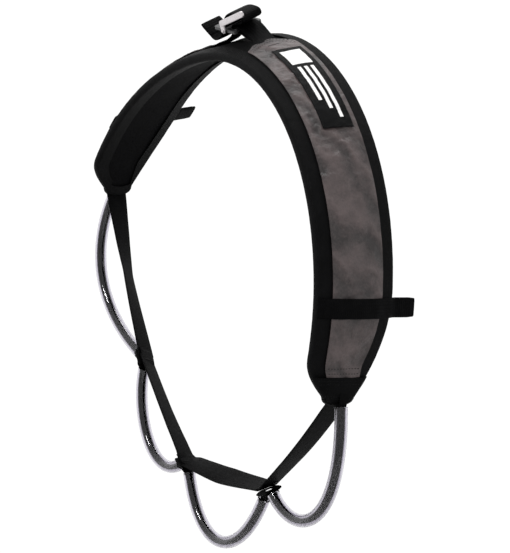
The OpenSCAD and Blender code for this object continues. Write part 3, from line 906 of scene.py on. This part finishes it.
def make_keepers():
    for name, end, distance in KEEPERS:
        at = end + distance / pace(end)
        lay = -heading(at)
        arm, neck = edge_of(at, -1), edge_of(at, 1)
        route = []
        for k in range(15):
            v = mix(-arm + 0.0005, neck - 0.003, k / 14)
            route.append((on_pad(at, v, layer_over(at, v, 0.0028, PANEL_AT + 0.0022, 0.022)), lay))
        root = on_pad(at, neck + TAB_STAND, TAB_LIFT)
        across = across_pad(at)
        out = out_of_pad(at)
        route.append((root, lay))
        for k in range(1, 5):
            route.append((root + across * (TAB_LENGTH * k / 4), lay))
        doubled = [1.0] * 12 + [1.05, 1.5, 2.0, 2.1, 2.1, 2.1, 2.1, 1.9]
        squared = [1.0] * 19 + [0.93]
        strap = ribbon(f"keeper_webbing_{name}", resample(route, 0.0016), size("keeper_width"),
                       size("webbing_thickness"), squared, doubled, wobble=0.0002)
        dress(strap, "nylon_webbing", None, (f"keeper_{name}", f"keeper_tab_{name}"))
        on_pad(at, neck - 0.002, TAB_LIFT)
        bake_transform(strap)
        spots = []
        for k in range(9):
            for row in (0.0065, 0.0085, 0.0175):
                place = root + across * row + lay * (size("keeper_width") * 0.4 * (k / 4 - 1))
                spots.append((place + out * 0.00175, lay, out))
        sew(f"tab_stitching_{name}", spots, 0.0019, 0.00026, f"{name}_tab")


# ---- strap

# Each junction: its angle in degrees, and its distance from the arch's centre as a share of the arch
JUNCTIONS_AT = ((163.5, 0.951), (-157.0, 0.924), (-120.0, 0.784))
# Degrees of twist at the start, middle and end of each run of the lower strap, and each run's sag
TWISTS = ((1, -4, -12), (-17, -34, -14), (18, 28, 32), (22, 38, 1))
SAGS = (0.003, 0.003, 0.002, 0.006)
WOBBLE = 0.00015


def junctions():
    return [ring_point(math.radians(a), share) for a, share in JUNCTIONS_AT]


def strap_at(a):
    """The middle of the strap on the pad at angle a, such as where it leaves a tip"""
    return on_pad(a, 0, outer_face(a, 0) + WEB_AT + size("webbing_thickness") / 2)


def strap_points():
    return [strap_at(FRONT_END), *junctions(), strap_at(BACK_END)]


def lower_run(k):
    """(place, across) pairs of the strap between two of its fixed points"""
    points = strap_points()
    a, b = points[k], points[k + 1]
    t = (b - a).normalized()
    middle = (a + b) / 2 + outward(t) * SAGS[k]
    turns = [math.radians(x) for x in TWISTS[k]]
    route = [(a, banked(t, turns[0])), (middle, banked(t, turns[1])), (b, banked(t, turns[2]))]
    fine = resample(route, 0.0025)
    last = len(fine) - 1
    out = []
    for i, (place, _) in enumerate(fine):
        x = 2 * i / last
        twist = mix(turns[0], turns[1], x) if x < 1 else mix(turns[1], turns[2], x - 1)
        out.append((place, banked(t, twist)))
    return out


def pad_route(a0, a1, count):
    turns = [mix(a0, a1, k / count) for k in range(count + 1)]
    return [(strap_at(a), across_pad(a)) for a in turns]


# The buckle's place: its pin, and how it lies on the pad
PIN_ALONG = 0.024
PIN_HEIGHT = 0.0125
ROLL = math.radians(8)
PITCH = math.radians(16)


def by_buckle(u, w):
    """u mm along the strap to the front and w mm off the pad's strap level at the shoulder top"""
    level = on_pad(0, 0, outer_face(0, 0) + WEB_AT)
    return level + FORWARD * (u * MM) + lifted(FORWARD, size("slope")) * (w * MM)


def rolled(u, w):
    """The same, rolled with the buckle about its pin"""
    pin = by_buckle(PIN_ALONG / MM, PIN_HEIGHT / MM)
    return pin + FORWARD * (u * MM - PIN_ALONG) + lifted(FORWARD, buckle_bank()) * (w * MM - PIN_HEIGHT)


def rolled_route(points):
    across = banked(FORWARD, buckle_bank())
    return resample([(rolled(u, w), across) for u, w in points], 0.002)


def buckle_bank():
    return size("slope") + ROLL


def make_strap():
    across = banked(FORWARD, buckle_bank())
    pin = rolled(PIN_ALONG / MM, PIN_HEIGHT / MM)
    up = lifted(FORWARD, buckle_bank())
    radius = 0.0032  # of the fold round the pin
    anchor = [(by_buckle(46, -1.2), banked(FORWARD, bank(0.2))), (by_buckle(38, 3.6), across),
              (pin + FORWARD * 0.004 - up * (radius + 0.0002), across)]
    for k in range(9):
        q = math.radians(mix(-90, -300, k / 8))
        anchor.append((pin + FORWARD * (radius * math.cos(q)) + up * (radius * math.sin(q)), across))
    anchor += [(by_buckle(34, 10.5), across), (by_buckle(44, 1.7), banked(FORWARD, bank(0.2)))]
    front = resample(anchor + pad_route(math.radians(16.2), FRONT_END, 26), 0.0022)
    front += lower_run(0)[1:]
    webbing("strap_front_webbing", front, BAND, ("strap_front",), wobble=WOBBLE)

    middle = lower_run(1) + lower_run(2)[1:]
    webbing("strap_middle_webbing", smooth_lay(middle, 6), BAND, ("strap_middle",), wobble=WOBBLE)

    back = lower_run(3) + pad_route(BACK_END, math.radians(-6), 20)[1:]
    webbing("strap_back_webbing", resample(smooth_lay(back, 3), 0.0025), BAND, ("strap_back",), wobble=WOBBLE)

    rise_points = [(by_buckle(-29.5, -1.4), banked(FORWARD, bank(0.1))),
                   (by_buckle(-14, 1.6), banked(FORWARD, size("slope"))), (by_buckle(0, 4.5), across),
                   (rolled(10, 7.8), across), (rolled(15, 10.4), across), (rolled(17.2, 13.2), across)]
    piece = webbing("strap_rise_webbing", resample(rise_points, 0.002), None)
    by_buckle(-20, 0)
    rolled(15, 10.4)
    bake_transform(piece)


def smooth_lay(route, passes):
    """Evens out sudden turns in a strap's path and in its across direction"""
    for _ in range(passes):
        out = [route[0]]
        for before, here, after in zip(route, route[1:], route[2:]):
            out.append(((before[0] + here[0] * 2 + after[0]) / 4,
                        (before[1] + here[1] * 2 + after[1]).normalized()))
        out.append(route[-1])
        route = out
    return route


# ---- buckle and tail

# (along, off) in mm by the buckle, for rolled()
WRAP = ((17.2, 13.2), (18.5, 17.5), (26, 19.2), (34, 18.8), (40, 20.5), (40.5, 25), (34, 28.5), (25, 30.5),
        (16, 29.5), (10, 26), (7, 21.5), (2, 15.2))
TAIL = ((2, 15.2), (-6, 10), (-15, 6.8), (-22, 7.6), (-27, 13.5))
TAIL_END = (-36, 25.5)
LEVER_LENGTH = 0.047
LEVER_HEIGHT = 0.0065
LEVER_THICKNESS = 0.002
LEVER_RISE = math.radians(24)
LEVER_ROOT = Vector((-0.0138, 0, 0.0077))
LEVER_EYE = Vector((-0.013, 0, 0))
LEVER_FACE = 0.01735  # half the frame's width, with the lever's gap


def bar_plate(name, a, b, height, thickness):
    """A flat plate with round ends from a to b, softened along its rims"""
    choose()
    bpy.ops.mesh.primitive_cylinder_add(vertices=48, radius=height / 2, depth=thickness,
                                        rotation=(math.pi / 2, 0, 0))
    plate = bpy.context.active_object
    plate.name = plate.data.name = name
    bpy.ops.object.transform_apply(location=False, rotation=True, scale=False)
    along = (b - a).normalized()
    for vertex in plate.data.vertices:
        if vertex.co.dot(along) > height * 0.001:
            vertex.co += b - a
        vertex.co += a
    edit(plate, lambda: bpy.ops.mesh.bevel(offset=thickness * 0.3, segments=3, affect="EDGES"), outward_normals)
    return plate


def make_lever(across, up):
    """The bright lever: a long plate, a short one to its rivet, and the rivet's head"""
    along = Vector((math.cos(LEVER_RISE), 0, math.sin(LEVER_RISE)))
    arm_end = LEVER_ROOT + along * (LEVER_LENGTH - LEVER_HEIGHT)
    arm = bar_plate("lever", LEVER_ROOT, arm_end, LEVER_HEIGHT, LEVER_THICKNESS)
    link = bar_plate("lever_link", LEVER_ROOT, LEVER_EYE, LEVER_HEIGHT * 0.98, LEVER_THICKNESS * 0.9)
    head = LEVER_EYE - SIDE * (LEVER_THICKNESS * 0.7)
    rivet = bar_plate("lever_rivet", head, head + FORWARD * 0.00001, 0.0034, 0.0012)
    arm = join(link, rivet, arm)
    pin = rolled(PIN_ALONG / MM, PIN_HEIGHT / MM)
    turn = Matrix((FORWARD, across, up)).transposed().to_4x4() @ Matrix.Rotation(PITCH, 4, "Y")
    aside = Matrix.Translation((0, -LEVER_FACE - LEVER_THICKNESS / 2, 0))
    arm.data.transform(Matrix.Translation(pin) @ turn @ aside)
    smooth_shade(arm)
    return arm


def make_buckle():
    across = banked(FORWARD, buckle_bank())
    up = lifted(FORWARD, buckle_bank())
    for node, finish in (("buckle_frame", "black_metal"), ("buckle_anchor_pin", "satin_metal"),
                         ("buckle_locking_bar", "satin_metal")):
        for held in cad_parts[node].material_slots:
            held.material = finish_of(finish)

    lever = make_lever(across, up)
    dress(lever, "satin_metal", "buckle", ("buckle_lever",))

    wrap = webbing("strap_wrap_webbing", rolled_route(WRAP), "buckle", ("strap_wrap",))
    tuple(rolled(10, 18))
    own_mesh(wrap)


def make_tail():
    across = banked(FORWARD, buckle_bank())
    tail = webbing("strap_tail_webbing", rolled_route(TAIL), None, ("strap_tail",))
    rolled(-4, 11)
    rolled(-25.5, 11.5)
    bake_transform(tail)
    start, end = rolled(*TAIL[-1]), rolled(*TAIL_END)
    stop_route = [(start.lerp(end, k / 5) - (end - start).normalized() * 0.001, across) for k in range(6)]
    webbing("tail_stop_webbing", resample(stop_route, 0.0012), "strap_end", ("tail_stop",), 2,
            widths=[1, 1, 1, 1, 1, 0.97], thicknesses=[0.8, 1, 1, 1, 1, 0.8])
    out = (end - start).cross(across).normalized()
    if out.z < 0:
        out = -out
    spots = []
    for k in range(11):
        for row in (0.3, 0.5):
            place = start.lerp(end, row) + across * (size("webbing_width") * 0.42 * (k / 5 - 1))
            spots += [(place + way * 0.00165, across, way) for way in (out, -out)]
    sew("tail_stitching", spots, 0.002, 0.00026, "strap_end")


# ---- gear loops

# A tube's ends stand off from the strap, and to the side of the junction
STANDOFF = 0.010
SIDESTEP = 0.009
LOOP_STEPS = 96
JUNCTION_BANKS = (-14, 2, 27)
TACK_STITCHES = 26
TACK_WIDTH = 0.015
# Where each loop's curve heads from its start and from its end, in mm
HANDLES = (((2, -118), (38, -40)), ((-48, -71), (20, -83)), ((-60, -26), (-21, -49)), ((-99, 50), (-48, -54)))


def in_plane(x, z):
    return Vector((x * MM, 0, z * MM))


def mean_headings():
    p = strap_points()
    runs = [(after - before).normalized() for before, after in zip(p, p[1:])]
    return [(runs[k] + runs[k + 1]).normalized() for k in range(3)]


def junction_axes(j):
    """Along, across and out of the strap at junction j"""
    t, b = mean_headings()[j], math.radians(JUNCTION_BANKS[j])
    return t, banked(t, b), lifted(t, b)


def loop_ends(k):
    joints = junctions()
    heads = mean_headings()

    def beside(j, side):
        return joints[j] + outward(heads[j]) * STANDOFF + heads[j] * (side * SIDESTEP)
    start = strap_at(FRONT_END) + in_plane(4, -6) if k == 0 else beside(k - 1, 1)
    end = strap_at(BACK_END) + in_plane(-6, -10) if k == 3 else beside(k, -1)
    return start, end


def loop_route(k, count):
    a, d = loop_ends(k)
    b = a + in_plane(*HANDLES[k][0])
    c = d + in_plane(*HANDLES[k][1])
    route = []
    for i in range(count + 1):
        t = i / count
        place = a * (1 - t) ** 3 + b * (3 * t * (1 - t) ** 2) + c * (3 * t * t * (1 - t)) + d * t**3
        route.append((place, SIDE))
    return route


def make_tube(k):
    route = loop_route(k, LOOP_STEPS)
    ts = headings(route)
    outer = size("tube_diameter") / 2
    inner = outer - size("tube_wall")
    rows = len(route) - 1

    def place(s, t):
        """The wall goes along the outside, round the rim and back along the inside"""
        x = s * (2 * rows + 2)
        if x <= rows:
            i, r = round(x), outer
        else:
            i, r = round(2 * rows + 1 - x), inner
        i = min(max(i, 0), rows)
        centre, side = route[i]
        n = outward(ts[i])
        q = 2 * math.pi * t
        return centre + side * (r * math.cos(q)) + n * (r * math.sin(q))

    tube = grid(f"tube_{k + 1}", 2 * len(route), 28, place, (0.04, 0.4))
    close_tube(tube, capped=False)
    edit(tube, lambda: bpy.ops.mesh.remove_doubles(threshold=0.00002), outward_normals)
    smooth_shade(tube, 50)
    dress(tube, "clear_vinyl", f"gear_loop_{k + 1}", (f"gear_tube_{k + 1}",))

    core = ribbon(f"loop_core_{k + 1}", route, 0.0082, 0.0052, power=0.8)
    dress(core, "nylon_webbing", f"gear_loop_{k + 1}", (f"loop_webbing_{k + 1}",))


def make_loop_end(name, near, sewn):
    """Webbing from inside a tube's end, flattening out to where it is sewn"""
    route = [near[1], near[0]] + sewn
    flat = [0.42] * 2 + [0.62, 0.8, 0.9, 0.9]
    thick = [2.4, 2.4, 1.7, 1.2, 1.1, 1.1]
    piece = ribbon(name, resample(route, 0.0015), 0.020, size("webbing_thickness"), flat, thick, sides=14,
                   power=0.5)
    dress(piece, "nylon_webbing", None)
    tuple(sewn[0][0])
    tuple(near[0][0])
    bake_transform(piece)


def make_gear_loops():
    for k in range(4):
        make_tube(k)
    joints = junctions()
    for k in range(4):
        route = loop_route(k, LOOP_STEPS)
        for which in ("start", "end"):
            inner, at_end = (route[3], route[0]) if which == "start" else (route[-4], route[-1])
            j = k - 1 if which == "start" else k
            if 0 <= j <= 2:
                side = 1 if which == "start" else -1
                t, lay, n = junction_axes(j)
                over = 0.0055 if side > 0 else 0.0062
                rows = ((0.0084, 0.0072), (over + 0.0010, 0.0045), (over, 0.0015), (over - 0.0012, -0.0015))
                sewn = [(joints[j] + n * out + t * (side * beyond), lay) for out, beyond in rows]
            else:
                end = FRONT_END if which == "start" else BACK_END
                way = -1 if which == "start" else 1
                sewn = []
                for back, w in ((0.0, 0.0022), (0.004, 0.0020), (0.010, 0.0019), (0.016, 0.0019)):
                    a = end + way * back / pace(end)
                    sewn.append((on_pad(a, 0, outer_face(a, 0) + WEB_AT + w), across_pad(a)))
            make_loop_end(f"loop_{which}_{k + 1}", (at_end, inner), sewn)


def make_junctions():
    """Webbing folded over the strap where two loops meet, and its bar tacks of dense zigzag thread"""
    spots = []
    joints = junctions()
    for j in range(len(joints)):
        t, lay, n = junction_axes(j)
        for name, lift, thick, half in (("outer", 0.0041, 0.0062, 0.0088), ("inner", -0.0015, 0.0014, 0.0085)):
            route = [(joints[j] + t * (half * x) + n * lift, lay) for x in (-1, -0.8, -0.5, 0, 0.5, 0.8, 1)]
            fold = ribbon(f"junction_{name}_{j + 1}", resample(route, 0.0012), 0.0215, thick,
                          [0.93, 0.98, 1, 1, 1, 0.98, 0.93], [0.5, 0.9, 1, 1, 1, 0.9, 0.5], wobble=0.0002)
            dress(fold, "nylon_webbing", BAND, ("junction_webbing",))
        for face, lift in ((-1, 0.0022), (1, 0.0073)):
            for row in (-0.0048, 0.0048):
                for i in range(TACK_STITCHES):
                    x = (i / (TACK_STITCHES - 1) - 0.5) * TACK_WIDTH
                    slant = (t + lay * (0.35 if i % 2 else -0.35)).normalized()
                    spots.append((joints[j] + t * row + lay * x + n * (face * lift), slant, n * face))
    sew("bar_tack_thread", spots, 0.0026, 0.00034, BAND, ("bar_tacks",))


# ---- stage

CAMERA_AZIMUTH = math.radians(57.5)
CAMERA_ELEVATION = math.radians(0.6)
CAMERA_DISTANCE = 2.135
CAMERA_AIM = Vector((0, 0, -0.230))
LENS = 139.0
FLOOR_DROP = 0.3


def make_stage():
    target = arch_base() + CAMERA_AIM
    back = Vector((math.sin(CAMERA_AZIMUTH) * math.cos(CAMERA_ELEVATION),
                   -math.cos(CAMERA_AZIMUTH) * math.cos(CAMERA_ELEVATION), math.sin(CAMERA_ELEVATION)))
    lens = bpy.data.cameras.new("camera")
    camera = bpy.data.objects.new("camera", lens)
    bpy.context.scene.collection.objects.link(camera)
    right = Vector((math.cos(CAMERA_AZIMUTH), math.sin(CAMERA_AZIMUTH), 0))
    camera.location = target + back * CAMERA_DISTANCE + right * 0.01685 + back.cross(right) * 0.0016
    camera.rotation_euler = back.to_track_quat("Z", "Y").to_euler()
    lens.lens = LENS
    lens.sensor_width = 36.0
    lens.clip_end = 50
    bpy.context.scene.camera = camera

    choose()
    bpy.ops.mesh.primitive_circle_add(vertices=96, radius=1, fill_type="NGON",
                                      location=(0, 0, CAD_BOX[0][2] - FLOOR_DROP))
    floor = bpy.context.active_object
    floor.name = "floor"
    paper = Finish("paper_floor", (0.93, 0.93, 0.93, 1), 0.9, Specular_IOR_Level=0.1)
    paper.shades(paper.noise(3, 2), (0.62, 0.62, 0.62, 1), (0.66, 0.66, 0.66, 1))
    floor.data.materials.append(paper.material)

    world = bpy.data.worlds.new("studio")
    world.use_nodes = True
    tree = world.node_tree
    ground = tree.nodes["Background"]
    facing = tree.nodes.new("ShaderNodeTexCoord")
    towards = tree.nodes.new("ShaderNodeVectorMath")
    towards.operation = "DOT_PRODUCT"
    towards.inputs[1].default_value = back
    level = tree.nodes.new("ShaderNodeMapRange")
    for key, value in (("From Min", -0.5), ("From Max", 0.6), ("To Min", 1.05), ("To Max", 0.62)):
        level.inputs[key].default_value = value
    tree.links.new(facing.outputs["Generated"], towards.inputs[0])
    tree.links.new(towards.outputs["Value"], level.inputs["Value"])
    tree.links.new(level.outputs["Result"], ground.inputs["Strength"])
    ground.inputs["Color"].default_value = (1, 1, 1, 1)
    bpy.context.scene.world = world
    bpy.context.scene.view_settings.view_transform = "Standard"

    for name, place, power, width in (("key", (0.2, -1.9, 1.5), 34, 0.7), ("fill", (2.4, 0.6, 0.2), 8, 1.2),
                                      ("top", (-0.4, 0.6, 2.0), 14, 1.0)):
        lamp = bpy.data.lights.new(name, "AREA")
        lamp.energy = power
        lamp.size = width
        obj = bpy.data.objects.new(name, lamp)
        bpy.context.scene.collection.objects.link(obj)
        obj.location = place
        obj.rotation_euler = (Vector(place) - target).to_track_quat("Z", "Y").to_euler()


# ---- add-on


def step(idname, label, doc, *makers):
    """An operator that runs the makers of one group of pieces"""
    def execute(self, context):
        for maker in makers:
            maker()
        return {"FINISHED"}
    return type("SLING_OT_" + idname, (bpy.types.Operator,), {
        "bl_idname": "sling." + idname, "bl_label": label, "__doc__": doc,
        "bl_options": {"REGISTER", "UNDO"}, "execute": execute})


OPERATORS = (
    step("stage", "Stage", "Adds the camera, floor and lights", make_stage),
    step("pad", "Pad", "Models the padded shoulder arch and its edge tapes", make_pad, make_tapes),
    step("panels", "Panels", "Models the nylon panels and the reinforced tips", make_panels),
    step("label", "Label", "Models the woven label", make_label),
    step("keepers", "Keepers", "Models the keeper straps and their tabs", make_keepers),
    step("strap", "Strap", "Models the main webbing", make_strap),
    step("buckle", "Buckle", "Models the buckle's lever and the strap's turn over it", make_buckle),
    step("tail", "Tail", "Models the strap's free end", make_tail),
    step("gear_loops", "Gear loops", "Models the clear tubes and the webbing inside", make_gear_loops),
    step("junctions", "Junctions", "Models the webbing and thread where the loops meet", make_junctions),
)


class SLING_PT_panel(bpy.types.Panel):
    """The sling's sizes, colours and steps"""

    bl_label = "Gear sling"
    bl_space_type = "VIEW_3D"
    bl_region_type = "UI"
    bl_category = "Sling"

    def draw(self, context):
        for group in (context.scene.sling_sizes, context.scene.sling_colours):
            for name in group.__annotations__:
                self.layout.prop(group, name)
        for operator in OPERATORS:
            self.layout.operator(operator.bl_idname)


CLASSES = (SlingSizes, SlingColours, *OPERATORS, SLING_PT_panel)


def register():
    for cls in CLASSES:
        bpy.utils.register_class(cls)
    bpy.types.Scene.sling_sizes = bpy.props.PointerProperty(type=SlingSizes)
    bpy.types.Scene.sling_colours = bpy.props.PointerProperty(type=SlingColours)


def unregister():
    del bpy.types.Scene.sling_colours
    del bpy.types.Scene.sling_sizes
    for cls in reversed(CLASSES):
        bpy.utils.unregister_class(cls)


def main():
    register()
    for operator in OPERATORS:
        getattr(bpy.ops.sling, operator.bl_idname.split(".")[1])()


if __name__ == "__main__":
    main()
